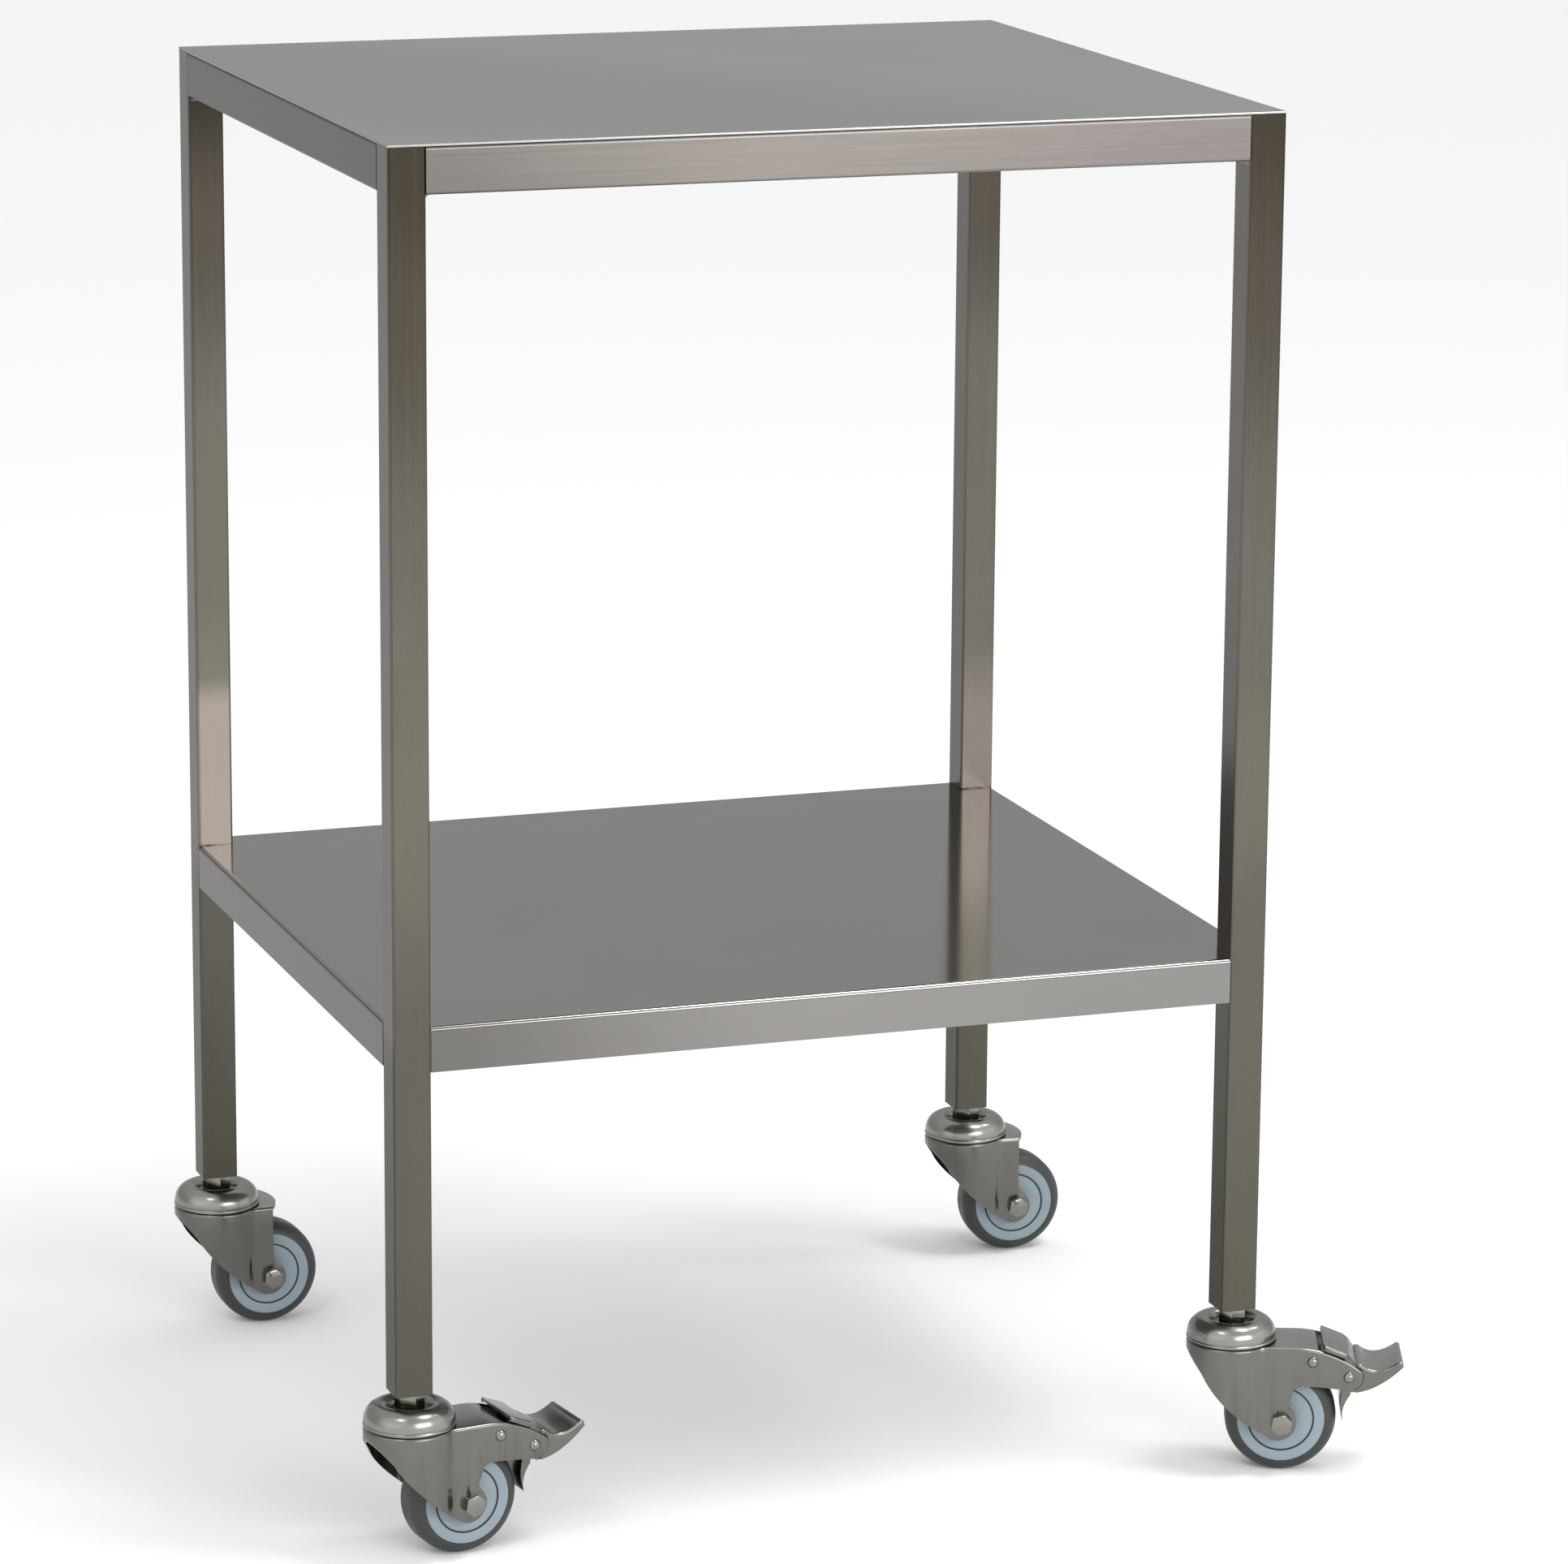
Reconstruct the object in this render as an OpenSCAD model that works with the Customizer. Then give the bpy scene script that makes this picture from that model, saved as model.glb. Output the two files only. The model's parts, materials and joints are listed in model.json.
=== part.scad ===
// Instrument cart: a welded square-tube frame with a flat worktop and one lower shelf, on four
// swivel casters. The two front casters carry a foot brake.
// Millimetres. +Z is up, +X runs along the cart's long side, -Y is the front.
// The origin is on the floor, under the middle of the whole footprint.

/* [Frame] */
// outside width of the frame along X
frame_width = 600; // [500:5:800]
// outside depth of the frame along Y
frame_depth = 530; // [400:5:600]
// floor to the worktop's upper face
top_height = 920; // [800:5:1000]
// floor to the shelf's upper face
shelf_height = 358; // [250:1:450]
// floor to the lower end of the legs
leg_end = 112.5; // [100:0.5:150]
// side of the square leg tube
tube = 25; // [20:1:40]
// wall of the leg and rail tubes
tube_wall = 1.2; // [0.8:0.1:2]
// outside corner radius of the tubes
tube_corner = 2; // [0.5:0.5:4]
// height of the rails under the worktop
rail_height = 30; // [20:1:50]
// thickness of the worktop and shelf sheets
sheet = 1.5; // [0.8:0.1:3]
// height of the shelf's folded-down edge
fold_height = 30; // [15:1:50]
// outside radius of the shelf's folds
fold_radius = 3; // [2:0.5:6]
// leg of the weld fillets under the rails
weld = 3; // [1:0.5:6]
// height of the threaded plug in each leg's end
plug_height = 20; // [12:1:40]

/* [Position] */
// frame's centre from the origin along X: the trailing casters reach out further on the right
frame_x = -42.5; // [-60:0.5:60]
// frame's centre from the origin along Y
frame_y = 14.5; // [-60:0.5:60]

/* [Swivel angles at rest] */
// front left caster: the way it trails, from +X towards +Y
swivel_fl = 9; // [-180:1:180]
// front right caster
swivel_fr = -21; // [-180:1:180]
// back left caster
swivel_bl = 2; // [-180:1:180]
// back right caster
swivel_br = -4; // [-180:1:180]

/* [Caster head] */
// across the flats of the hex under the leg
hex_flats = 17; // [14:1:24]
// height of that hex
hex_height = 12; // [6:0.5:20]
// radius of the stud and of the king pin below it
stud_r = 6; // [4:0.5:8]
// outside radius of the domed cap
cap_r = 30; // [25:0.5:35]
// radius of the cap's rolled crest
cap_roll = 8.5; // [6:0.5:12]
// drop from the leg's end to the top of the crest
cap_drop = 7; // [5:0.5:10]
// drop from the leg's end to the cap's lower edge
cap_foot = 21.5; // [18:0.5:26]
// thickness of the cap's sheet
cap_sheet = 1.5; // [1:0.1:2.5]
// how far the cap's lip stands out
cap_lip = 0.4; // [0.2:0.1:1]
// drop from the leg's end to the top of the fork
fork_drop = 22.3; // [20:0.1:28]

/* [Fork] */
// outside radius of the fork's round head
head_r = 30.3; // [25:0.1:36]
// radius of the head's upper edge
head_round = 3; // [1:0.5:5]
// half of the gap between the cheeks
cheek_gap = 21; // [18:0.5:26]
// thickness of the fork's sheet
fork_sheet = 2.2; // [1.5:0.1:3]
// distance from the swivel axis back to the axle
trail = 34; // [25:0.5:45]
// distance from the swivel axis back to the cheeks' straight edge
cheek_back = 35; // [30:0.5:45]
// radius, about the swivel axis, of the rounded back of the unbraked fork's top
tab_r = 42; // [40:0.5:44]
// radius of the boss around the axle
boss_r = 12.5; // [10:0.5:16]
// how far the boss's centre lies ahead of the axle
boss_lead = 2.5; // [0:0.5:4]

/* [Wheel] */
// diameter over the tyre
wheel_d = 75; // [50:1:125]
// half of the width over the tyre's rounded shoulders
tyre_half = 15; // [10:0.5:20]
// radius of the tyre's shoulders
shoulder_r = 10; // [4:0.5:12]
// outside radius of the hub's rim
rim_r = 29.6; // [22:0.1:34]
// half of the hub's width at the rim
hub_half = 14.5; // [9:0.5:19]
// radius of the round covers on the hub
cover_r = 21.6; // [16:0.1:26]
// width of the dark groove around a cover
cover_gap = 0.7; // [0.3:0.1:1.5]
// thickness of a cover
cover_sheet = 1.7; // [1:0.1:3]
// radius of the hub's middle boss
hub_boss_r = 9; // [7:0.5:12]
// radius of the axle bolt
axle_r = 4; // [3:0.5:6]
// outside radius of the sleeve on which the wheel turns
sleeve_r = 5.5; // [4.5:0.1:8]
// radial running clearance of every turning bore
running = 0.05; // [0.01:0.01:0.1]

/* [Brake] */
// the pedal's pivot: distance back from the swivel axis
pivot_back = 78.7; // [70:0.1:90]
// the pivot's drop from the leg's end
pivot_drop = 42; // [36:0.5:48]
// radius of the arm's rounded end
arm_end_r = 9.5; // [7:0.5:12]
// the fixed cross rivet: distance back from the swivel axis
rivet_back = 54.2; // [48:0.1:62]
// the cross rivet's drop from the leg's end
rivet_drop = 31.7; // [28:0.1:38]
// radius of the rivet shanks
rivet_r = 3; // [2:0.5:4]
// radius of the rivets' domed heads
dome_r = 3.9; // [3:0.1:6]
// height of the rivets' domed heads
dome_height = 2.5; // [1:0.1:4]
// thickness of the pedal's sheet
pedal_sheet = 2; // [1.5:0.1:3]
// half of the pedal's width behind the arm
pedal_half = 22.4; // [20:0.1:26]
// clearance between the pedal and the arm
pedal_gap = 0.3; // [0.3:0.1:1]
// half of the brake blade's width
blade_half = 12; // [8:0.5:15]

/* [Hidden] */
$fn = 64;
far = 200;
leg_x = frame_width / 2 - tube / 2;
leg_y = frame_depth / 2 - tube / 2;
leg_top = top_height - sheet;
steel = [0.62, 0.61, 0.58];
bright = [0.75, 0.75, 0.74];
blue_grey = [0.60, 0.68, 0.74];
dark = [0.20, 0.21, 0.21];

// ---------------------------------------------------------------- shared shapes

// quadratic curve through a (start) and c (end), pulled towards b
function curve(a, b, c, n) =
  [for (i = [0 : n]) let (t = i / n)
    a * (1 - t) * (1 - t) + b * 2 * t * (1 - t) + c * t * t];

// rectangle with rounded corners, centred
module round_rect(w, d, r) {
  square([w - 2 * r, d], center = true);
  square([w, d - 2 * r], center = true);
  for (x = [-1, 1])
    for (y = [-1, 1])
      translate([x * (w / 2 - r), y * (d / 2 - r)])
        circle(r);
}

// square-cornered tube section with a bore
module tube_section(w, d) {
  difference() {
    round_rect(w, d, tube_corner);
    round_rect(w - 2 * tube_wall, d - 2 * tube_wall, tube_corner - tube_wall);
  }
}

// places children at the frame's centre
module on_frame() {
  translate([frame_x, frame_y, 0])
    children();
}

// sx and sy choose the corner: -1 left or front, 1 right or back
module at_leg(sx, sy) {
  on_frame()
    translate([sx * leg_x, sy * leg_y, 0])
      children();
}

// ---------------------------------------------------------------- frame

module leg(sx, sy) {
  color(steel)
    at_leg(sx, sy)
      translate([0, 0, leg_end])
        linear_extrude(leg_top - leg_end)
          tube_section(tube, tube);
}

// rail between two legs; turn is 0 along X and 90 along Y
module rail(x, y, turn, gap) {
  color(steel)
    on_frame()
      translate([x, y, leg_top - rail_height / 2])
        rotate([0, 0, turn])
          rotate([90, 0, 90])
            linear_extrude(gap, center = true)
              tube_section(tube, rail_height);
}

module top_sheet() {
  color(bright)
    on_frame()
      translate([0, 0, leg_top])
        linear_extrude(sheet)
          square([frame_width, frame_depth], center = true);
}

// section of a tray turned upside down, with both upper corners rounded
module fold_section(w, h, r) {
  translate([-w / 2, -h])
    square([w, h - r]);
  translate([-w / 2 + r, -r])
    square([w - 2 * r, r]);
  for (x = [-1, 1])
    translate([x * (w / 2 - r), -r])
      circle(r);
}

module fold_block(w, d, h, r) {
  intersection() {
    rotate([90, 0, 0])
      linear_extrude(d, center = true)
        fold_section(w, h, r);
    rotate([90, 0, 90])
      linear_extrude(w, center = true)
        fold_section(d, h, r);
  }
}

module shelf() {
  color(steel)
    on_frame()
      difference() {
        translate([0, 0, shelf_height])
          fold_block(frame_width, frame_depth, fold_height, fold_radius);
        translate([0, 0, shelf_height - sheet])
          fold_block(frame_width - 2 * sheet, frame_depth - 2 * sheet, fold_height + 5,
                     fold_radius - sheet);
        for (sx = [-1, 1])
          for (sy = [-1, 1])
            translate([sx * frame_width / 2, sy * frame_depth / 2, shelf_height])
              cube([2 * tube, 2 * tube, 4 * fold_height], center = true);
      }
}

module leg_plugs() {
  side = tube - 2 * tube_wall;
  color(steel)
    for (sx = [-1, 1])
      for (sy = [-1, 1])
        at_leg(sx, sy)
          translate([0, 0, leg_end])
            linear_extrude(plug_height)
              difference() {
                round_rect(side, side, tube_corner - tube_wall);
                circle(stud_r);
              }
}

// concave fillet along Y, in the corner below a rail (z = 0) and beside a leg (x = 0)
module fillet() {
  long = tube - 2 * tube_corner;
  difference() {
    translate([0, -long / 2, -weld])
      cube([weld, long, weld]);
    translate([weld, 0, -weld])
      rotate([90, 0, 0])
        cylinder(r = weld, h = tube, center = true);
  }
}

module weld_beads() {
  color(steel)
    for (sx = [0, 1])
      for (sy = [0, 1])
        on_frame()
          mirror([sx, 0, 0])
            mirror([0, sy, 0])
              translate([-leg_x, -leg_y, leg_top - rail_height]) {
                translate([tube / 2, 0, 0])
                  fillet();
                translate([0, tube / 2, 0])
                  rotate([0, 0, 90])
                    fillet();
              }
}

// ---------------------------------------------------------------- caster
// Each caster is drawn around its own swivel axis, trailing along +X, with the bolt's head
// on the -Y side. Side profiles are drawn as [distance back, drop from the leg's end].

module caster(sx, sy, angle) {
  at_leg(sx, sy)
    rotate([0, 0, angle])
      children();
}

// slab between y0 and y1 with a side profile
module slab(y0, y1) {
  translate([0, y1, leg_end])
    rotate([90, 0, 0])
      linear_extrude(y1 - y0)
        mirror([0, 1, 0])
          children();
}

// the same slab on both sides of the middle
module both_slabs(y0, y1) {
  slab(y0, y1)
    children();
  slab(-y1, -y0)
    children();
}

// round section turned about the swivel axis, drawn as [radius, drop]
module turned() {
  translate([0, 0, leg_end])
    rotate_extrude()
      mirror([0, 1, 0])
        children();
}

// round section turned about the axle, drawn as [radius, distance from the middle]
module on_axle() {
  translate([trail, 0, wheel_d / 2])
    rotate([90, 0, 0])
      rotate_extrude()
        children();
}

module rect(x0, y0, x1, y1) {
  translate([x0, y0])
    square([x1 - x0, y1 - y0]);
}

module hexagon(flats) {
  circle(r = flats / sqrt(3), $fn = 6);
}

module stem() {
  flare_top = fork_drop + fork_sheet + 0.3;
  color(bright) {
    translate([0, 0, leg_end - hex_height])
      linear_extrude(hex_height)
        rotate([0, 0, 30])
          hexagon(hex_flats);
    turned() {
      rect(0, -plug_height, stud_r, 1);
      rect(0, hex_height - 1, stud_r, flare_top + 2);
      rect(0, flare_top, stud_r + 3.5, flare_top + 2.5);
    }
  }
}

// upper half of the cap's rolled crest
module crest(r) {
  mid = cap_r - cap_roll;
  intersection() {
    translate([mid, cap_drop + cap_roll])
      circle(r);
    rect(0, 0, cap_r + 5, cap_drop + cap_roll);
  }
}

module cap() {
  mid = cap_r - cap_roll;
  wall_top = cap_drop + cap_roll;
  lip_top = cap_foot - 2.3;
  color(bright)
    turned() {
      difference() {
        crest(cap_roll);
        crest(cap_roll - cap_sheet);
        rect(0, hex_height + cap_sheet, mid, wall_top + 1);
      }
      rect(cap_r - cap_sheet, wall_top, cap_r, cap_foot);
      rect(cap_r - cap_sheet, lip_top, cap_r + cap_lip, cap_foot);
      difference() {
        rect(stud_r, hex_height, mid - 5, hex_height + cap_sheet);
        translate([mid, wall_top])
          circle(cap_roll - cap_sheet);
      }
    }
}

module race() {
  color(steel)
    turned()
      rect(15, 17.5, cap_r - cap_sheet - 0.6, fork_drop);
}

// lower front edge of the cheeks, from the boss up to the head
sweep = curve([27, 86.2], [-10, 62], [-20, 42], 14);
cheek_x = trail - boss_lead;
cheek_drop = leg_end - wheel_d / 2;

module cheek_profile() {
  polygon(concat(
    [[cheek_back, cheek_drop], [cheek_x, cheek_drop + 6]],
    sweep,
    [[-head_r, 28.5], [-far, 28.5], [-far, fork_drop], [cheek_back, fork_drop]]));
  translate([cheek_x, cheek_drop])
    circle(boss_r);
}

arm_top = curve([46, fork_drop], [66, fork_drop + 0.5], [84.5, 35.5], 10);
arm_low = curve([pivot_back, pivot_drop + arm_end_r], [66, 49.5], [48.5, 48.8], 6);
arch = [48.5, 56.8];
arch_r = 8;

// narrowest place between the arch and the boss
waist = [38.4, 62.5];

module arm_profile() {
  difference() {
    polygon(concat([[cheek_back - 5, fork_drop]], arm_top, arm_low,
                   [arch, [arch[0] - arch_r, arch[1]], [39.2, 59.8], waist,
                    waist + [1, 5], [cheek_back - 5, cheek_drop]]));
    translate(arch)
      circle(arch_r);
  }
  translate([pivot_back, pivot_drop])
    circle(arm_end_r);
}

module head_section(r, round) {
  rect(0, fork_drop, r - round, far);
  rect(0, fork_drop + round, r, far);
  translate([r - round, fork_drop + round])
    circle(round);
}

// everything nearer than r to the swivel axis, or behind it and nearer than half_gap to the middle
module fork_plan(r, half_gap, drop, round) {
  intersection() {
    turned()
      translate([0, drop])
        head_section(r, round);
    translate([-r - 1, -r - 1, 0])
      cube([2 * r + 2, 2 * r + 2, leg_end]);
  }
  translate([0, -half_gap, -10])
    cube([far, 2 * half_gap, leg_end - fork_drop - drop + 10]);
}

module fork_holes() {
  cylinder(r = stud_r + running, h = far);
  translate([trail, 0, wheel_d / 2])
    rotate([90, 0, 0])
      cylinder(r = axle_r, h = far, center = true);
}

// rounded back of the top plate, between the cheeks' folds
module tab() {
  half = cheek_gap + fork_sheet;
  translate([0, 0, leg_end - fork_drop - fork_sheet])
    linear_extrude(fork_sheet)
      intersection() {
        circle(tab_r);
        rect(cheek_back - 10, -half, far, half);
      }
}

// edge of the top plate between the arm's sides, and where that plate ends
web = [for (p = arm_top) if (p[0] < 58) p];
web_end = web[len(web) - 1][0];

module fork(braked) {
  color(steel)
    difference() {
      union() {
        intersection() {
          fork_plan(head_r, cheek_gap + fork_sheet, 0, head_round);
          slab(-far, far) {
            cheek_profile();
            if (braked)
              arm_profile();
          }
        }
        if (!braked)
          tab();
      }
      intersection() {
        fork_plan(head_r - fork_sheet, cheek_gap, fork_sheet, head_round - fork_sheet);
        slab(-far, far) {
          polygon(concat([[-far, fork_drop + fork_sheet]],
                         [for (p = web) p + [0, fork_sheet]],
                         [[web_end, far], [-far, far]]));
        }
      }
      if (braked) {
        slab(-cheek_gap, cheek_gap)
          rect(web_end, 0, far, far);
        for (p = [[rivet_back, rivet_drop], [pivot_back, pivot_drop]])
          slab(-far, far)
            translate(p)
              circle(rivet_r);
      }
      fork_holes();
    }
}

module bolt() {
  face = cheek_gap + fork_sheet;
  thick = 5.3;
  color(bright)
    translate([trail, 0, wheel_d / 2])
      rotate([90, 0, 0]) {
        translate([0, 0, -face - 9])
          cylinder(r = axle_r, h = 2 * face + 9 + 1);
        translate([0, 0, face])
          intersection() {
            linear_extrude(thick)
              rotate([0, 0, 20])
                hexagon(13);
            cylinder(r1 = 6.5 + thick * 1.6, r2 = 6.5, h = thick);
          }
      }
}

module nut() {
  face = cheek_gap + fork_sheet;
  thick = 7;
  color(bright)
    translate([trail, 0, wheel_d / 2])
      rotate([-90, 0, 0])
        translate([0, 0, face])
          difference() {
            intersection() {
              linear_extrude(thick)
                hexagon(13);
              cylinder(r1 = 6.5 + thick * 1.6, r2 = 6.5, h = thick);
            }
            cylinder(r = axle_r, h = far, center = true);
          }
}

module sleeve() {
  color(bright)
    on_axle()
      rect(axle_r + running, -cheek_gap, sleeve_r, cheek_gap);
}

module hub() {
  bore = sleeve_r + running;
  boss_half = cheek_gap - 0.4;
  recess = hub_half - cover_sheet - 0.3;
  color(blue_grey)
    on_axle() {
      rect(bore, -recess, rim_r, recess);
      rect(cover_r + cover_gap, -hub_half, rim_r, hub_half);
      rect(bore, -boss_half, hub_boss_r, boss_half);
    }
}

module tyre() {
  flat = tyre_half - shoulder_r;
  color(dark)
    on_axle()
      intersection() {
        union() {
          rect(0, -flat, wheel_d / 2, flat);
          for (y = [-flat, flat])
            translate([wheel_d / 2 - shoulder_r, y])
              circle(shoulder_r);
        }
        rect(rim_r, -tyre_half, far, tyre_half);
      }
}

module covers() {
  face = hub_half - 0.3;
  color(blue_grey)
    on_axle()
      for (y = [-face, face - cover_sheet])
        rect(hub_boss_r, y, cover_r, y + cover_sheet);
}

// ---------------------------------------------------------------- foot brake

plate_front = [61, 19.8];
plate_back = [76.7, 25.9];
saddle = curve([83, 33], [97, 42.5], [112.5, 31], 12);
tip = [115, 33];
tip_r = 2.2;
belly = curve(tip - [0.6, -1], [98, 51.5], [80, 53.6], 8);

// strip under a line of points
module strip(line, thick) {
  n = len(line);
  polygon(concat(line, [for (i = [n - 1 : -1 : 0]) line[i] + [0, thick]]));
}

module outside_pivot(r) {
  difference() {
    children();
    translate([pivot_back, pivot_drop])
      circle(r);
  }
}

module pedal() {
  inner = cheek_gap - pedal_gap;
  wall = inner - pedal_sheet;
  clear_r = arm_end_r + 0.6;
  color(steel)
    difference() {
      union() {
        // release plate over the arm, with turned-down sides
        slab(-cheek_gap - fork_sheet, cheek_gap + fork_sheet)
          strip([plate_front, plate_back], pedal_sheet);
        both_slabs(cheek_gap, cheek_gap + fork_sheet)
          strip([plate_front + [1.2, 0.47], plate_back], 3.5);
        // neck and foot rest
        slab(-inner, inner)
          strip(concat([plate_back - [1, 0.39]], saddle), pedal_sheet);
        slab(-pedal_half, pedal_half) {
          outside_pivot(clear_r)
            strip(saddle, pedal_sheet);
          translate(tip - [tip_r, 0])
            circle(tip_r);
        }
        // cheeks: inside the arm around the pivot, full width behind it
        both_slabs(wall, inner) {
          polygon(concat([[76, 26.6]], saddle, belly));
          translate([pivot_back, pivot_drop])
            circle(arm_end_r);
        }
        both_slabs(wall, pedal_half)
          outside_pivot(clear_r)
            polygon(concat(saddle, belly));
      }
      slab(-far, far)
        translate([pivot_back, pivot_drop])
          circle(rivet_r + running);
    }
}

module blade() {
  back_edge = curve([80.6, 58], [73.5, 68], [76, 76.5], 8);
  front_edge = curve([75.8, 76.5], [72, 67], [75, 54], 8);
  color(steel)
    difference() {
      slab(-blade_half, blade_half) {
        polygon(concat([[81.8, 42]], back_edge, front_edge, [[75.6, 42]]));
        translate([pivot_back, pivot_drop])
          circle(5.2);
      }
      slab(-far, far)
        translate([pivot_back, pivot_drop])
          circle(rivet_r + running);
    }
}

// domed head, base on z = 0
module dome() {
  ball = (dome_r * dome_r + dome_height * dome_height) / (2 * dome_height);
  intersection() {
    translate([0, 0, dome_height - ball])
      sphere(ball);
    cylinder(r = dome_r + 1, h = dome_height + 1);
  }
}

module rivets() {
  face = cheek_gap + fork_sheet;
  color(bright)
    for (p = [[rivet_back, rivet_drop], [pivot_back, pivot_drop]])
      translate([p[0], 0, leg_end - p[1]])
        rotate([90, 0, 0]) {
          cylinder(r = rivet_r, h = 2 * face, center = true);
          translate([0, 0, face])
            dome();
          rotate([180, 0, 0])
            translate([0, 0, face])
              dome();
        }
}

// ---------------------------------------------------------------- nodes

module leg_fl() { leg(-1, -1); }
module leg_fr() { leg(1, -1); }
module leg_bl() { leg(-1, 1); }
module leg_br() { leg(1, 1); }
module rail_front() { rail(0, -leg_y, 0, frame_width - 2 * tube); }
module rail_back() { rail(0, leg_y, 0, frame_width - 2 * tube); }
module rail_left() { rail(-leg_x, 0, 90, frame_depth - 2 * tube); }
module rail_right() { rail(leg_x, 0, 90, frame_depth - 2 * tube); }

module at_fl() { caster(-1, -1, swivel_fl) children(); }
module at_fr() { caster(1, -1, swivel_fr) children(); }
module at_bl() { caster(-1, 1, swivel_bl) children(); }
module at_br() { caster(1, 1, swivel_br) children(); }

module stem_fl() { at_fl() stem(); }
module cap_fl() { at_fl() cap(); }
module race_fl() { at_fl() race(); }
module fork_fl() { at_fl() fork(braked = true); }
module bolt_fl() { at_fl() bolt(); }
module nut_fl() { at_fl() nut(); }
module sleeve_fl() { at_fl() sleeve(); }
module hub_fl() { at_fl() hub(); }
module tyre_fl() { at_fl() tyre(); }
module covers_fl() { at_fl() covers(); }
module pedal_fl() { at_fl() pedal(); }
module blade_fl() { at_fl() blade(); }
module rivets_fl() { at_fl() rivets(); }

module stem_fr() { at_fr() stem(); }
module cap_fr() { at_fr() cap(); }
module race_fr() { at_fr() race(); }
module fork_fr() { at_fr() fork(braked = true); }
module bolt_fr() { at_fr() bolt(); }
module nut_fr() { at_fr() nut(); }
module sleeve_fr() { at_fr() sleeve(); }
module hub_fr() { at_fr() hub(); }
module tyre_fr() { at_fr() tyre(); }
module covers_fr() { at_fr() covers(); }
module pedal_fr() { at_fr() pedal(); }
module blade_fr() { at_fr() blade(); }
module rivets_fr() { at_fr() rivets(); }

module stem_bl() { at_bl() stem(); }
module cap_bl() { at_bl() cap(); }
module race_bl() { at_bl() race(); }
module fork_bl() { at_bl() fork(braked = false); }
module bolt_bl() { at_bl() bolt(); }
module nut_bl() { at_bl() nut(); }
module sleeve_bl() { at_bl() sleeve(); }
module hub_bl() { at_bl() hub(); }
module tyre_bl() { at_bl() tyre(); }
module covers_bl() { at_bl() covers(); }

module stem_br() { at_br() stem(); }
module cap_br() { at_br() cap(); }
module race_br() { at_br() race(); }
module fork_br() { at_br() fork(braked = false); }
module bolt_br() { at_br() bolt(); }
module nut_br() { at_br() nut(); }
module sleeve_br() { at_br() sleeve(); }
module hub_br() { at_br() hub(); }
module tyre_br() { at_br() tyre(); }
module covers_br() { at_br() covers(); }

leg_fl();
leg_fr();
leg_bl();
leg_br();
top_sheet();
rail_front();
rail_back();
rail_left();
rail_right();
shelf();
leg_plugs();
weld_beads();
stem_fl();
cap_fl();
race_fl();
fork_fl();
bolt_fl();
nut_fl();
sleeve_fl();
hub_fl();
tyre_fl();
covers_fl();
stem_fr();
cap_fr();
race_fr();
fork_fr();
bolt_fr();
nut_fr();
sleeve_fr();
hub_fr();
tyre_fr();
covers_fr();
stem_bl();
cap_bl();
race_bl();
fork_bl();
bolt_bl();
nut_bl();
sleeve_bl();
hub_bl();
tyre_bl();
covers_bl();
stem_br();
cap_br();
race_br();
fork_br();
bolt_br();
nut_br();
sleeve_br();
hub_br();
tyre_br();
covers_br();
pedal_fl();
blade_fl();
rivets_fl();
pedal_fr();
blade_fr();
rivets_fr();
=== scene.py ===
import json
import math

import bmesh
import bpy
from mathutils import Matrix, Vector


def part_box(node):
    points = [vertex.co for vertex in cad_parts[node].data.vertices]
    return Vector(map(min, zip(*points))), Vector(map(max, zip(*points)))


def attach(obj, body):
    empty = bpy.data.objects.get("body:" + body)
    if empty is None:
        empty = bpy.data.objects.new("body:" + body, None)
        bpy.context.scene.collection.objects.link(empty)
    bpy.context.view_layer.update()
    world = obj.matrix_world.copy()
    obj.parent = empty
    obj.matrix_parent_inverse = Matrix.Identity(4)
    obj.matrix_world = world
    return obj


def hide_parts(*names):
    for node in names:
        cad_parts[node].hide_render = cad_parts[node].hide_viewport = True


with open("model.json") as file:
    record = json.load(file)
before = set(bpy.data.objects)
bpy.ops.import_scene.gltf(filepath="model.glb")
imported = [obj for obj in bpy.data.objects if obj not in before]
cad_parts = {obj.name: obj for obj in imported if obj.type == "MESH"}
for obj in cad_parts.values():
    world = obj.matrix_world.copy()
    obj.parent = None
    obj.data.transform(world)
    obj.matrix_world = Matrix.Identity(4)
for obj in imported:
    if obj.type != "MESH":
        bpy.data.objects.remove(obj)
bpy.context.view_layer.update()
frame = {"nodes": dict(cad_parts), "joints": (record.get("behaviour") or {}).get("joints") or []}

MM = 0.001

# ---------------------------------------------------------------- places, from the frame

joints = {joint["name"]: joint for joint in frame["joints"]}
CORNERS = ("fl", "fr", "bl", "br")
BRAKED = ("fl", "fr")
cart_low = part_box("leg_fl")[0]
cart_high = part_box("leg_br")[1]
centre = (cart_low + cart_high) / 2
shelf_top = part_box("shelf")[1].z


def linear(*channels):
    """A colour given as eight-bit display values, as the linear colour that Blender wants."""
    made = []
    for channel in channels:
        share = channel / 255
        made.append(share / 12.92 if share <= 0.04045 else ((share + 0.055) / 1.055) ** 2.4)
    return (*made, 1.0)


# ---------------------------------------------------------------- camera, floor and light

LENS = 145.05
CAMERA_AZIMUTH = -19.284
CAMERA_ELEVATION = 13.41
CAMERA_ROLL = 0.428
CAMERA_DISTANCE = 4.314
CLIP_END = 100
AIM_RIGHT = 0.046
AIM_FORWARD = 0.0213
AIM_HEIGHT = 0.4394
AIM = Vector((centre.x + AIM_RIGHT, centre.y - AIM_FORWARD, AIM_HEIGHT))

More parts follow.
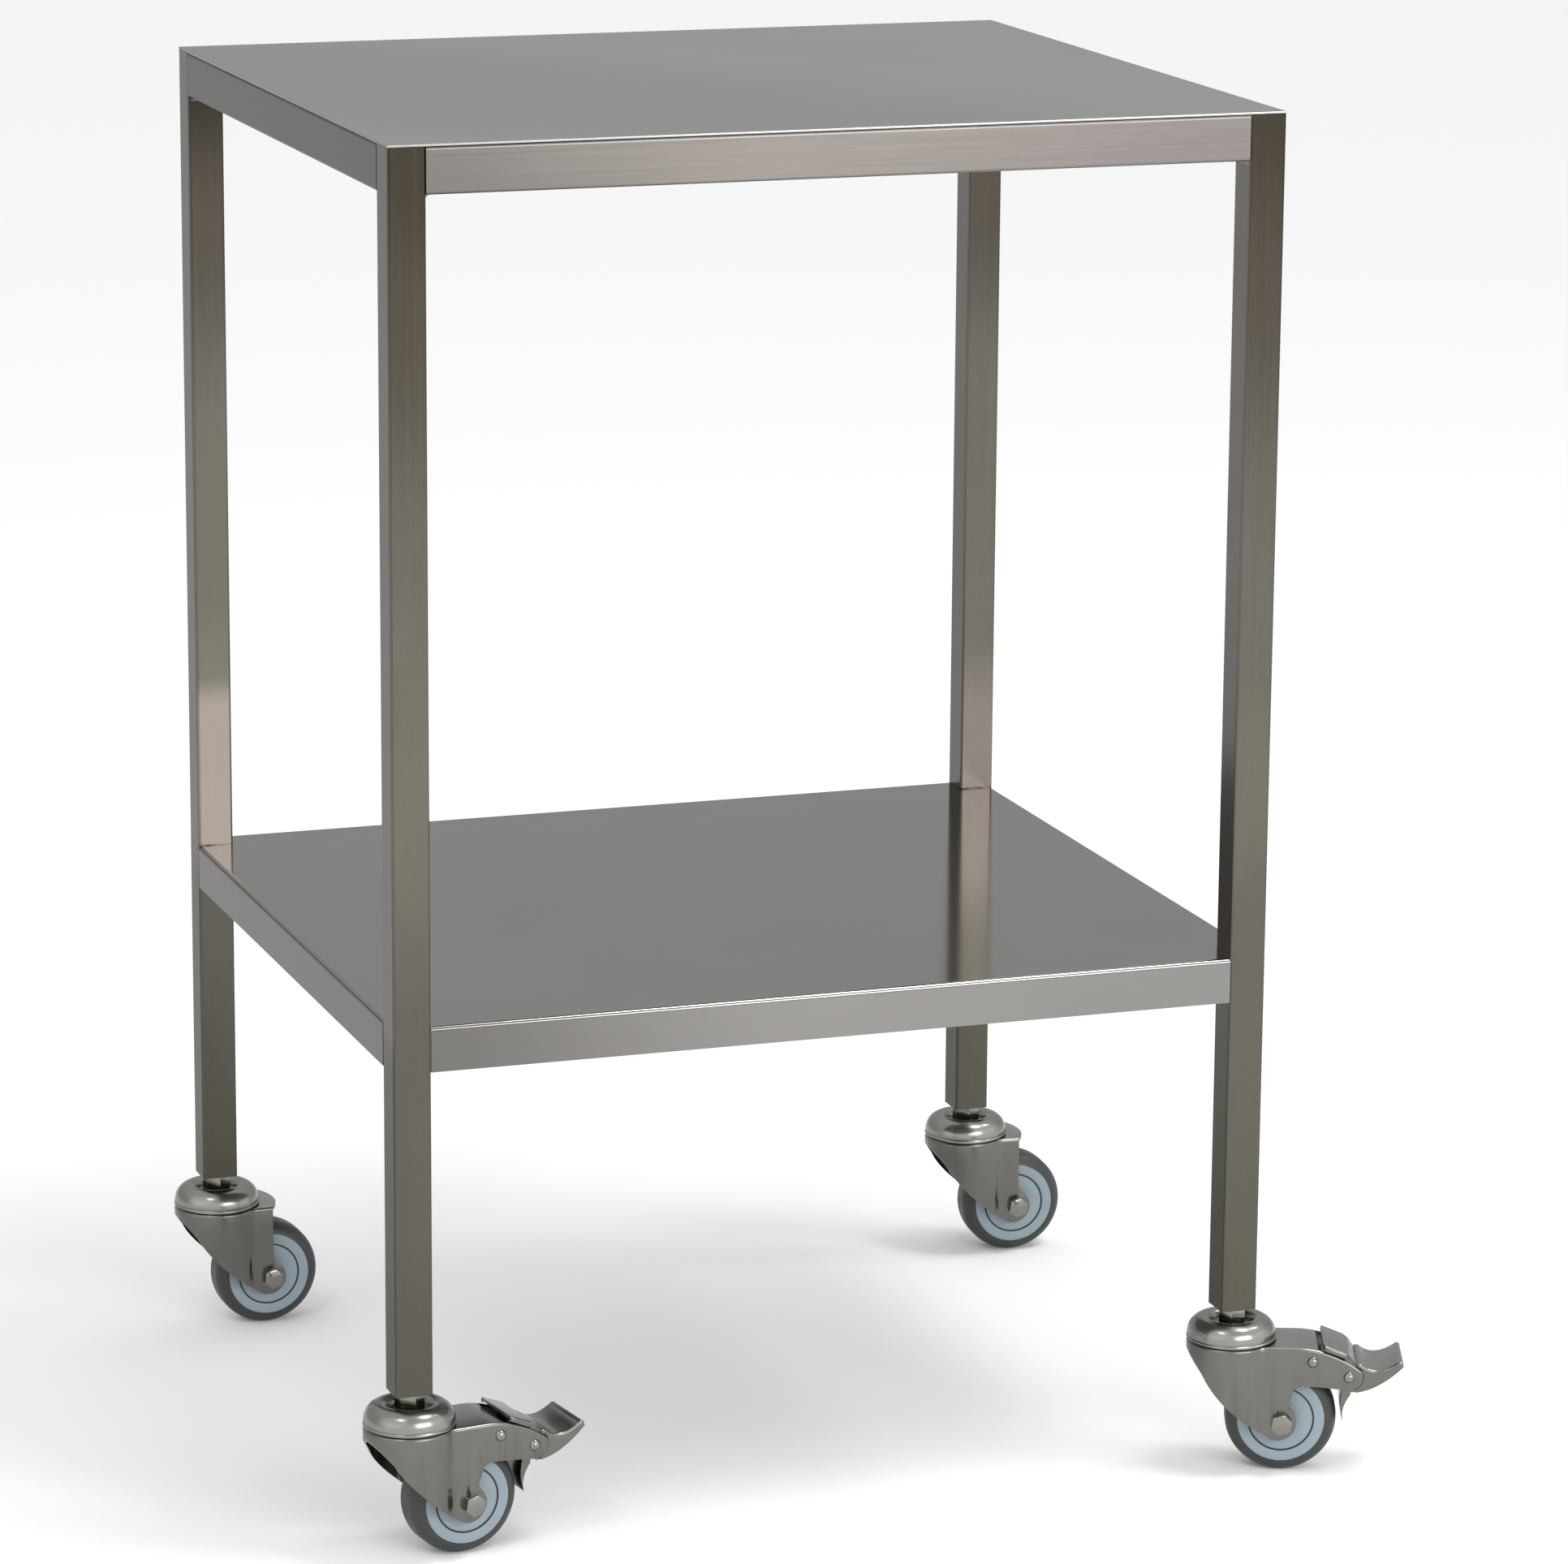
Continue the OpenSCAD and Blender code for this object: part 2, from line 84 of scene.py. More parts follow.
SUN_DISTANCE = 5.0
SUNS = (
    # name, azimuth, elevation, strength, spread
    ("front_left", -65, 38, 0.26, 60),
    ("front_right", 50, 38, 0.20, 60),
)
SOFTBOXES = (
    # name, azimuth, elevation, distance, size, power
    ("front", 14, 17, 3.2, (2.0, 1.0), 36),
    ("key", -50, 50, 3.4, (0.7, 0.7), 9),
    ("edge", 54, 65, 3.4, (0.9, 0.9), 36),
    ("rim", 88, 48, 3.2, (0.45, 0.45), 8),
)

# The world's brightness in front, low down at the back and overhead, and where it changes.
FRONT_GLOW = 1.3
BACK_GLOW = 0.62
TOP_GLOW = 0.85
GLOW_DEPTH = (-0.35, 0.45)
GLOW_HEIGHT = (0.35, 0.8)

FLOOR_HALF = 40
FLOOR_GREY = 246
FLOOR_ROUGH = 0.9
FLOOR_SHINE = 0.2


def back_towards(azimuth, elevation):
    """Unit vector from the object towards a viewer; azimuth 0 looks along +Y."""
    a = math.radians(azimuth)
    e = math.radians(elevation)
    return Vector((math.sin(a) * math.cos(e), -math.cos(a) * math.cos(e), math.sin(e)))


def make_camera():
    """The camera that the reference was taken with, as far as it could be fitted."""
    camera = bpy.data.objects.new("camera", bpy.data.cameras.new("camera"))
    bpy.context.scene.collection.objects.link(camera)
    bpy.context.scene.camera = camera
    camera.data.lens = LENS
    camera.data.clip_end = CLIP_END
    back = back_towards(CAMERA_AZIMUTH, CAMERA_ELEVATION)
    camera.location = AIM + back * CAMERA_DISTANCE
    turn = (-back).to_track_quat("-Z", "Y").to_matrix()
    roll = Matrix.Rotation(math.radians(CAMERA_ROLL), 3, "Z")
    camera.rotation_euler = (turn @ roll).to_euler()


def light(name, kind, azimuth, elevation, distance):
    """A lamp that looks at the object from the given side, and its settings."""
    data = bpy.data.lights.new(name, kind)
    lamp = bpy.data.objects.new(name, data)
    bpy.context.scene.collection.objects.link(lamp)
    back = back_towards(azimuth, elevation)
    lamp.location = AIM + back * distance
    lamp.rotation_euler = (-back).to_track_quat("-Z", "Y").to_euler()
    return data


def softbox(name, azimuth, elevation, distance, size, power):
    data = light(name, "AREA", azimuth, elevation, distance)
    data.shape = "RECTANGLE"
    data.size = size[0]
    data.size_y = size[1]
    data.energy = power


def wide_sun(name, azimuth, elevation, strength, spread):
    data = light(name, "SUN", azimuth, elevation, SUN_DISTANCE)
    data.energy = strength
    data.angle = math.radians(spread)


def make_world():
    """A pale studio: bright overhead and in front, dimmer low down at the back."""
    world = bpy.data.worlds.new("studio")
    bpy.context.scene.world = world
    world.use_nodes = True
    tree = world.node_tree
    background = tree.nodes["Background"]
    place = tree.nodes.new("ShaderNodeTexCoord")
    split = tree.nodes.new("ShaderNodeSeparateXYZ")
    tree.links.new(place.outputs["Generated"], split.inputs["Vector"])

    def ramp(output, low, high, low_grey, high_grey):
        made = tree.nodes.new("ShaderNodeMapRange")
        made.interpolation_type = "SMOOTHSTEP"
        tree.links.new(split.outputs[output], made.inputs["Value"])
        made.inputs["From Min"].default_value = low
        made.inputs["From Max"].default_value = high
        made.inputs["To Min"].default_value = low_grey
        made.inputs["To Max"].default_value = high_grey
        return made.outputs["Result"]

    depth = ramp("Y", *GLOW_DEPTH, FRONT_GLOW, BACK_GLOW)
    height = ramp("Z", *GLOW_HEIGHT, 0.0, 1.0)
    blend = tree.nodes.new("ShaderNodeMix")
    tree.links.new(height, blend.inputs["Factor"])
    tree.links.new(depth, blend.inputs[2])
    blend.inputs[3].default_value = TOP_GLOW
    tree.links.new(blend.outputs[0], background.inputs["Strength"])
    background.inputs["Color"].default_value = (1, 1, 1, 1)


def make_stage():
    """The floor and the lamps."""
    mesh = bpy.data.meshes.new("floor")
    shape = bmesh.new()
    bmesh.ops.create_grid(shape, x_segments=1, y_segments=1, size=FLOOR_HALF)
    shape.to_mesh(mesh)
    shape.free()
    floor = bpy.data.objects.new("floor", mesh)
    bpy.context.scene.collection.objects.link(floor)
    graph = Graph("floor_paint")
    graph.shader.inputs["Base Color"].default_value = linear(FLOOR_GREY, FLOOR_GREY, FLOOR_GREY)
    graph.shader.inputs["Roughness"].default_value = FLOOR_ROUGH
    graph.shader.inputs["Specular IOR Level"].default_value = FLOOR_SHINE
    mesh.materials.append(graph.material)
    for settings in SUNS:
        wide_sun(*settings)
    for settings in SOFTBOXES:
        softbox(*settings)


# ---------------------------------------------------------------- materials
# Colours are eight-bit display values. Places along the cart are in metres.

AXES = {"x": 0, "y": 1, "z": 2}
FACING_FADE = (0.55, 0.85)
GRAIN_LONG = 6.0
GRAIN_ACROSS = 1500.0
GRAIN_DEPTH = 0.0002
BRUSHED_TINT = (0.72, 0.72, 0.72, 1)
POLISHED_TINT = (0.85, 0.85, 0.85, 1)

# Leg colours along the height, for faces that look forwards or backwards and for faces that look to
# the sides: painted light and shade, the fronts darkest near the top, the sides darker below the
# shelf, and sides and fronts of different brightness.
LEG_FRONT = (
    (0.11, (87, 85, 76)),
    (0.33, (89, 87, 80)),
    (0.50, (100, 97, 89)),
    (0.66, (100, 97, 89)),
    (0.80, (81, 76, 68)),
    (0.92, (62, 57, 49)),
)
LEG_SIDE = (
    (0.11, (76, 74, 66)),
    (0.33, (78, 75, 68)),
    (0.36, (103, 98, 94)),
    (0.92, (110, 105, 101)),
)
LEG_ROUGH = 0.25
LEFT_LEG_GLOW = (128, 121, 116)
RIGHT_LEG_GLOW = (120, 113, 108)
RIGHT_GLOW_FADE = 0.06
GLOW_FADE = 0.012
SHELF_GLOW = 0.112
WELD_BURN = (66, 50, 40)
# Rail colours: painted light and shade, the front and back rails darker at the left end than towards
# the middle and the right, and the side rails darker than the front and back ones.
RAIL_X = ((106, 102, 99), (126, 121, 117), (121, 116, 113))
RAIL_Y = ((105, 103, 101), (105, 104, 102))
RAIL_ROUGH = 0.30
WORKTOP = (175, 175, 174)
WORKTOP_ROUGH = 0.30
# Shelf colours: painted light and shade, the front and back folds darker at the left end than towards
# the middle, the side folds darker, and the top lighter than the folds.
SHELF_FRONT = ((105, 103, 101), (132, 130, 127), (125, 124, 122))
SHELF_SIDE = (101, 98, 96)
SHELF_TOP = (162, 159, 155)
SHELF_ROUGH = 0.10
# Painted light: a lighter colour for the caster's pressed steel where it looks up.
PRESSED_TOP_LIGHT = (154, 152, 149)


class Graph:
    """A material's node tree, built with short calls."""

    def __init__(self, name):
        self.material = bpy.data.materials.new(name)
        self.material.use_nodes = True
        self.tree = self.material.node_tree
        self.tree.nodes.clear()
        self.shader = self.add("BsdfPrincipled")
        output = self.add("OutputMaterial")
        self.put(output.inputs["Surface"], self.shader.outputs["BSDF"])

    def add(self, kind, **settings):
        made = self.tree.nodes.new("ShaderNode" + kind)
        for key, value in settings.items():
            setattr(made, key, value)
        return made

    def put(self, target, value):
        """Sets an input to a value, or links it to another node's output."""
        if isinstance(value, bpy.types.NodeSocket):
            self.tree.links.new(value, target)
        else:
            target.default_value = value

    def place(self):
        return self.add("TexCoord").outputs["Object"]

    def along(self, axis):
        """One object coordinate, in metres."""
        split = self.add("SeparateXYZ")
        self.put(split.inputs["Vector"], self.place())
        return split.outputs[AXES[axis]]

    def facing(self, axis, sign):
        """1 where the surface faces along the axis, 0 elsewhere."""
        split = self.add("SeparateXYZ")
        self.put(split.inputs["Vector"], self.add("NewGeometry").outputs["Normal"])
        lined = self.maths("MULTIPLY", split.outputs[AXES[axis]], sign)
        return self.span(lined, *FACING_FADE, 0, 1)

    def stretched(self, scale):
        """Object coordinates multiplied by a scale for each axis."""
        mapping = self.add("Mapping", vector_type="POINT")
        self.put(mapping.inputs["Vector"], self.place())
        mapping.inputs["Scale"].default_value = scale
        return mapping.outputs["Vector"]

    def noise(self, vector, scale, detail=2.0, roughness=0.5):
        made = self.add("TexNoise")
        self.put(made.inputs["Vector"], vector)
        made.inputs["Scale"].default_value = scale
        made.inputs["Detail"].default_value = detail
        made.inputs["Roughness"].default_value = roughness
        return made.outputs["Fac"]

    def maths(self, operation, a, b=0.0):
        made = self.add("Math", operation=operation)
        self.put(made.inputs[0], a)
        self.put(made.inputs[1], b)
        return made.outputs[0]

    def span(self, value, low, high, to_low, to_high):
        """value from low..high carried to to_low..to_high, and held at the ends."""
        made = self.add("MapRange", interpolation_type="SMOOTHSTEP")
        self.put(made.inputs["Value"], value)
        made.inputs["From Min"].default_value = low
        made.inputs["From Max"].default_value = high
        made.inputs["To Min"].default_value = to_low
        made.inputs["To Max"].default_value = to_high
        return made.outputs["Result"]

    def zones(self, axis, stops):
        """A colour that changes smoothly along an axis; stops are (place, colour)."""
        first = stops[0][0]
        last = stops[-1][0]
        share = self.maths("DIVIDE", self.maths("SUBTRACT", self.along(axis), first), last - first)
        ramp = self.add("ValToRGB")
        ramp.color_ramp.interpolation = "EASE"
        elements = ramp.color_ramp.elements
        while len(elements) < len(stops):
            elements.new(0.5)
        for element, (where, colour) in zip(elements, stops):
            element.position = (where - first) / (last - first)
            element.color = linear(*colour)
        self.put(ramp.inputs["Fac"], share)
        return ramp.outputs["Color"]

    def across(self):
        """1 where the surface faces to the left or to the right."""
        return self.maths("MAXIMUM", self.facing("x", -1), self.facing("x", 1))

    def mix(self, share, a, b):
        """Colour a where share is 0, and b where it is 1."""
        made = self.add("Mix", data_type="RGBA", blend_type="MIX")
        self.put(made.inputs["Factor"], share)
        self.put(made.inputs[6], a)
        self.put(made.inputs[7], b)
        return made.outputs[2]

    def scaled(self, colour, factor):
        made = self.add("VectorMath", operation="SCALE")
        if not isinstance(colour, bpy.types.NodeSocket):
            colour = colour[:3]
        self.put(made.inputs[0], colour)
        self.put(made.inputs["Scale"], factor)
        return made.outputs[0]

    def bump(self, height, strength, distance):
        made = self.add("Bump")
        made.inputs["Strength"].default_value = strength
        made.inputs["Distance"].default_value = distance
        self.put(made.inputs["Height"], height)
        self.put(self.shader.inputs["Normal"], made.outputs["Normal"])


def brushed(graph, colour, rough, grain, streak=0.05, cloud=0.03, depth=0.06):
    """Makes the graph a brushed steel of this colour; grain is the axis of the brushing."""
    scale = [GRAIN_ACROSS] * 3
    scale[AXES[grain]] = GRAIN_LONG
    streaks = graph.noise(graph.stretched(scale), 1.0, 4.0, 0.65)
    clouds = graph.noise(graph.place(), 7.0, 2.0)
    shade = graph.maths(
        "MULTIPLY",
        graph.span(streaks, 0.25, 0.75, 1 - streak, 1 + streak),
        graph.span(clouds, 0.3, 0.7, 1 - cloud, 1 + cloud),
    )
    graph.put(graph.shader.inputs["Base Color"], graph.scaled(colour, shade))
    graph.shader.inputs["Metallic"].default_value = 1.0
    graph.shader.inputs["Specular Tint"].default_value = BRUSHED_TINT
    sheen = graph.span(streaks, 0.2, 0.8, rough - 0.03, rough + 0.04)
    graph.put(graph.shader.inputs["Roughness"], sheen)
    graph.bump(streaks, depth, GRAIN_DEPTH)
    return graph.material


def leg_steel(name, glow=None, glow_fade=GLOW_FADE):
    """A leg: brushed upwards, with painted shade darker near its ends and painted light and shade
    that differ between its fronts and sides; glow is a painted reflection of the shelf's light on a
    rear leg.
    """
    graph = Graph(name)
    front = graph.zones("z", LEG_FRONT)
    side = graph.zones("z", LEG_SIDE)
    # Painted light and shade: the sides and the fronts of a leg get different colours.
    colour = graph.mix(graph.across(), front, side)
    if glow:
        height = graph.maths("SUBTRACT", graph.along("z"), shelf_top)
        near = graph.maths(
            "MULTIPLY",
            graph.span(height, -0.0005, 0.0005, 0, 1),
            graph.span(height, SHELF_GLOW - glow_fade, SHELF_GLOW + GLOW_FADE, 1, 0),
        )
        lit = graph.maths("MULTIPLY", near, graph.facing("y", -1))
        colour = graph.mix(lit, colour, linear(*glow))
        soot = graph.noise(graph.stretched((90, 90, 400)), 1.0, 2.0)
        burn = graph.maths(
            "MULTIPLY",
            graph.span(graph.maths("ABSOLUTE", height), 0.0004, 0.0014, 1, 0),
            graph.span(soot, 0.35, 0.6, 0.1, 0.9),
        )
        colour = graph.mix(burn, colour, linear(*WELD_BURN))
    return brushed(graph, colour, LEG_ROUGH, "z", streak=0.035, cloud=0.05, depth=0.03)


def rail_steel(name, axis, stops):
    """A rail under the worktop; stops are (place, colour) from its low end to its high end."""
    graph = Graph(name)
    colour = graph.zones(axis, stops)
    return brushed(graph, colour, RAIL_ROUGH, axis, streak=0.05, cloud=0.03)


def worktop_steel(name):
    graph = Graph(name)
    return brushed(graph, linear(*WORKTOP), WORKTOP_ROUGH, "x", streak=0.025, cloud=0.015, depth=0.03)


def shelf_steel(name):
    """The shelf: a near-mirror top, with brushed folded edges; its top, fronts and sides get painted
    light and shade as different colours.
    """
    graph = Graph(name)
    low = cart_low.x
    high = cart_high.x
    places = (low, low * 0.5 + high * 0.5, high)
    # Painted light and shade: the folds along the front and the sides, and the top, get different
    # colours.
    edge = graph.zones("x", tuple(zip(places, SHELF_FRONT)))
    colour = graph.mix(graph.across(), edge, linear(*SHELF_SIDE))
    colour = graph.mix(graph.facing("z", 1), colour, linear(*SHELF_TOP))
    return brushed(graph, colour, SHELF_ROUGH, "x", streak=0.02, cloud=0.015, depth=0.015)


def polished(name, colour, rough, depth=0.025, painted_top_light=None):
    """Pressed and polished steel, with faint polishing marks and handling wear, and painted light on
    faces that look up when a colour for it is given.
    """
    graph = Graph(name)
    if painted_top_light:
        # Faces that look up get the lighter colour: painted light on the tops.
        colour = graph.mix(graph.facing("z", 1), colour, painted_top_light)
    marks = graph.noise(graph.stretched((1, 1, 0.25)), 900.0, 3.0)
    clouds = graph.noise(graph.place(), 60.0, 2.0)
    shade = graph.maths(
        "MULTIPLY",
        graph.span(marks, 0.3, 0.7, 1 - depth / 2, 1 + depth / 2),
        graph.span(clouds, 0.3, 0.7, 1 - depth, 1 + depth),
    )
    graph.put(graph.shader.inputs["Base Color"], graph.scaled(colour, shade))
    graph.shader.inputs["Metallic"].default_value = 1.0
    graph.shader.inputs["Specular Tint"].default_value = POLISHED_TINT
    sheen = graph.span(clouds, 0.3, 0.7, rough - 0.012, rough + 0.015)
    graph.put(graph.shader.inputs["Roughness"], sheen)
    graph.bump(marks, 0.008, 0.00005)
    return graph.material


def plastic(name, colour, rough):
    graph = Graph(name)
    clouds = graph.noise(graph.place(), 60.0, 3.0)
    grit = graph.noise(graph.place(), 2500.0, 2.0)
    darker = tuple(c * 0.93 for c in colour[:3]) + (1,)
    graph.put(graph.shader.inputs["Base Color"], graph.mix(clouds, darker, colour))
    sheen = graph.span(grit, 0.3, 0.7, rough - 0.05, rough + 0.05)
    graph.put(graph.shader.inputs["Roughness"], sheen)
    graph.bump(grit, 0.05, 0.0001)
    return graph.material


def rubber(name, colour, rough):
    graph = Graph(name)
    clouds = graph.noise(graph.place(), 90.0, 4.0)
    grit = graph.noise(graph.place(), 3000.0, 3.0)
    darker = tuple(c * 0.8 for c in colour[:3]) + (1,)
    graph.put(graph.shader.inputs["Base Color"], graph.mix(clouds, darker, colour))
    sheen = graph.span(clouds, 0.3, 0.7, rough - 0.07, rough + 0.07)
    graph.put(graph.shader.inputs["Roughness"], sheen)
    graph.bump(grit, 0.15, 0.0002)
    return graph.material


WELD_DISTANCE = 0.00001
SHARP_ANGLE = 38


def dress(node, material, edge=None):
    """Gives a CAD node its material, and softens its edges if edge (metres) is given."""
    node_object = frame["nodes"][node]
    node_object.data.materials.clear()
    node_object.data.materials.append(material)
    node_object.data.polygons.foreach_set("use_smooth", [True] * len(node_object.data.polygons))
    if edge:
        weld = node_object.modifiers.new("weld", "WELD")
        weld.merge_threshold = WELD_DISTANCE
        bevel = node_object.modifiers.new("edges", "BEVEL")
        bevel.width = edge
        bevel.segments = 3
        bevel.limit_method = "ANGLE"
        bevel.angle_limit = math.radians(SHARP_ANGLE)
        bevel.harden_normals = True


def dress_all():
    """Materials for the CAD nodes, and the pieces that stand in for some of them."""
    low = cart_low.x
    high = cart_high.x
    places = (low, low * 0.6 + high * 0.4, high)
    # The rails' colours are painted light and shade along them and between the front and side rails.
    across = rail_steel("rail_steel_x", "x", tuple(zip(places, RAIL_X)))
    along = rail_steel("rail_steel_y", "y", tuple(zip((cart_low.y, cart_high.y), RAIL_Y)))
    front_leg = leg_steel("leg_steel")
    left_leg = leg_steel("rear_left_leg_steel", LEFT_LEG_GLOW)
    right_leg = leg_steel("rear_right_leg_steel", RIGHT_LEG_GLOW, RIGHT_GLOW_FADE)
    worktop = worktop_steel("worktop_steel")
    shelf = shelf_steel("shelf_steel")
    pressed = polished("caster_steel", linear(110, 109, 104), 0.24, painted_top_light=linear(*PRESSED_TOP_LIGHT))
    # The race is painted far lighter than the other steel: a painted highlight for the bright line
    # between the cap and the fork, which lies in shade there.
    ring = polished("race_steel", linear(214, 213, 210), 0.30)
    domed = polished("cap_steel", linear(140, 139, 135), 0.24)
    bright = polished("bright_steel", linear(132, 130, 125), 0.18)
    hub = plastic("hub_plastic", linear(129, 143, 151), 0.40)
    tyre = rubber("tyre_rubber", linear(45, 47, 47), 0.50)
    dark_ring = rubber("dark_ring_rubber", linear(22, 24, 26), 0.6)
    dress("leg_fl", front_leg)
    dress("leg_fr", front_leg)
    dress("leg_bl", left_leg)
    dress("leg_br", right_leg)
    for side in ("front", "back"):
        dress("rail_" + side, across)
    for side in ("left", "right"):
        dress("rail_" + side, along)
    dress("top_sheet", worktop, 0.0005)
    dress("shelf", shelf)
    dress("leg_plugs", bright)
    dress("weld_beads", across)
    for corner in CORNERS:
        dress("cap_" + corner, domed)
        make_cap(corner, domed)
        dress("fork_" + corner, pressed)
        make_fork(corner, pressed)
        dress("race_" + corner, ring)
        for part in ("stem", "bolt", "nut"):
            dress(f"{part}_{corner}", bright, 0.0003)
        dress("sleeve_" + corner, bright)
        dress("hub_" + corner, hub, 0.0003)
        dress("covers_" + corner, hub, 0.0003)
        dress("tyre_" + corner, tyre)
        make_dark_rings(corner, dark_ring)
    for corner in BRAKED:
        dress("pedal_" + corner, pressed)
        make_pedal(corner, pressed)
        dress("blade_" + corner, pressed, 0.0005)
        dress("rivets_" + corner, bright, 0.0002)


# ---------------------------------------------------------------- pressed caster parts
# In millimetres around a caster's swivel axis: s is the distance back along the trail, y is
# across, and h is the drop from the leg's lower end.

HEAD_R = 30.3
FORK_HALF = 23.2
HEAD_FILLET = 8.0
FORK_TOP = 22.3
FOLD_R = 2.4
FORK_SHEET = 2.2
SHELL_LOW = 95.0
SHELL_END = 92.0
WEB_END = 58.0
TAB_WEB_END = 60.0
TAB_FROM = 34.9
TAB_R = 42.0
KING_PIN_HOLE = 6.3
FORK_EDGE = 0.00022
PIECE_EDGE_ANGLE = 40
DART_AT = (18.2, 24.5, 73)
DART_SIZE = (1.15, 2.1, 6.4)
FOLD_STEPS = 6
HEAD_STEPS = 36
FILLET_STEPS = 8
ROUND = 96
# Cutters reach past the sheet by these.
REACH = 40
DEEP = 120
ABOVE = 10
PAST_FRONT = -45
PAST_TAB = 50
TAB_BELOW = 26
# The fork's side profile: where its front edge starts, the cheek's back edge, the brake's notch.
FRONT_DROP = 28.5
CHEEK_BACK = 35
CHEEK_TURN = ((CHEEK_BACK, 57), (CHEEK_BACK, 62.8), (38.0, 64.3))
NOTCH_END = [(39.2, 59.8), (38.4, 62.5)]
BOSS_FROM_NOTCH = -53
BOSS_FROM_CHEEK = -58.7
BOSS_TO_SWEEP = 113
BOSS = (31.5, 75.0)
BOSS_R = 12.5
PIVOT = (78.7, 42.0)
ARM_END_R = 9.5
ARCH = (48.5, 56.8)
ARCH_R = 8.0
TRAIL = 34.0
AXLE_DROP = 75.0
DARK_RING_IN = 21.45
DARK_RING_OUT = 22.5
DARK_RING_LOW = 12.9
DARK_RING_HIGH = 14.55


def caster_place(corner):
    """Carries (s, y, -h) in millimetres to the frame, for one caster at rest."""
    swivel = Vector(joints["swivel_" + corner]["pos_m"])
    axle = Vector(joints["roll_" + corner]["pos_m"])
    angle = math.atan2(axle.y - swivel.y, axle.x - swivel.x)
    spot = Matrix.Translation((swivel.x, swivel.y, cart_low.z))
    return spot @ Matrix.Rotation(angle, 4, "Z") @ Matrix.Scale(MM, 4)


def curve(a, b, c, count):
    """Points of the quadratic curve from a to c, pulled towards b."""
    made = []
    for i in range(count + 1):
        t = i / count
        u = 1 - t
        made.append(tuple(p * u * u + q * 2 * u * t + r * t * t for p, q, r in zip(a, b, c)))
    return made


def arc(middle, radius, start, end, count):
    """Points on a circle from start to end, in degrees from +s towards +h."""
    made = []
    for i in range(count + 1):
        angle = math.radians(start + (end - start) * i / count)
        made.append((middle[0] + radius * math.cos(angle), middle[1] + radius * math.sin(angle)))
    return made


ARM_TOP = curve((46, FORK_TOP), (66, 22.8), (84.5, 35.5), 24)
ARM_LOW = curve((78.7, 51.5), (66, 49.5), (48.5, 48.8), 12)
SWEEP = curve((26.6, 86.5), (-10, 62), (-20, 42), 20)


def arm_height(s):
    """Drop of the arm's upper edge at a distance back."""
    if s <= ARM_TOP[0][0]:
        return FORK_TOP
    for (s0, h0), (s1, h1) in zip(ARM_TOP, ARM_TOP[1:]):
        if s <= s1:
            return h0 + (h1 - h0) * (s - s0) / (s1 - s0)
    (s0, h0), (s1, h1) = ARM_TOP[-2:]
    return h1 + (s - s1) * (h1 - h0) / (s1 - s0)


def circle(middle, radius):
    """Points all round a circle."""
    return arc(middle, radius, 0, 360 - 360 / ROUND, ROUND - 1)


def new_object(name, shape):
    mesh = bpy.data.meshes.new(name)
    shape.to_mesh(mesh)
    shape.free()
    made = bpy.data.objects.new(name, mesh)
    bpy.context.scene.collection.objects.link(made)
    return made


def band(shape, a, b):
    """Faces between two rings of corners."""
    for i in range(len(a)):
        j = (i + 1) % len(a)
        shape.faces.new((a[i], a[j], b[j], b[i]))


def crown_up(shape):
    """Turns the faces so that the highest one looks up."""
    bmesh.ops.recalc_face_normals(shape, faces=shape.faces)
    crown = max(shape.faces, key=lambda face: face.calc_center_median().z)
    if crown.normal.z < 0:
        bmesh.ops.reverse_faces(shape, faces=shape.faces)


def prism(name, outline, y0=-REACH, y1=REACH):
    """A slab between y0 and y1 with a side profile of (s, h) points."""
    shape = bmesh.new()
    near = [shape.verts.new((s, y0, -h)) for s, h in outline]
    far = [shape.verts.new((s, y1, -h)) for s, h in outline]
    shape.faces.new(near)
    shape.faces.new(list(reversed(far)))
    count = len(outline)
    for i in range(count):
        j = (i + 1) % count
        shape.faces.new((near[j], near[i], far[i], far[j]))
    bmesh.ops.recalc_face_normals(shape, faces=shape.faces)
    return new_object(name, shape)


def pillar(name, middle, radius, z0, z1):
    """An upright round cutter."""
    shape = bmesh.new()
    rings = []
    for z in (z0, z1):
        rings.append([shape.verts.new((*point, z)) for point in circle(middle, radius)])
    shape.faces.new(rings[0])
    shape.faces.new(rings[1])
    band(shape, *rings)
    bmesh.ops.recalc_face_normals(shape, faces=shape.faces)
    return new_object(name, shape)


def settle(piece):
    """Turns the piece's modifiers into plain mesh."""
    graph = bpy.context.evaluated_depsgraph_get()
    mesh = bpy.data.meshes.new_from_object(piece.evaluated_get(graph))
    piece.modifiers.clear()
    piece.data = mesh


def carve(piece, operation, cutter):
    """Cuts the piece with the cutter, and throws the cutter away."""
    bpy.context.view_layer.update()
    made = piece.modifiers.new("carve", "BOOLEAN")
    made.operation = operation
    made.solver = "EXACT"
    made.use_self = operation == "INTERSECT"
    made.object = cutter
    settle(piece)
    bpy.data.objects.remove(cutter)


def thicken(piece, sheet, even=True):
    """Gives an outer skin its thickness, inwards."""
    thick = piece.modifiers.new("sheet", "SOLIDIFY")
    thick.thickness = sheet
    thick.offset = -1
    thick.use_even_offset = even
    settle(piece)


def fold(reach, drop, radius):
    """A rounded fold from level to upright: (distance out, drop) for each step."""
    made = []
    for step in range(FOLD_STEPS + 1):
        turn = math.radians(step * 90 / FOLD_STEPS)
        made.append((reach - radius * (1 - math.sin(turn)), drop + radius * (1 - math.cos(turn))))
    return made


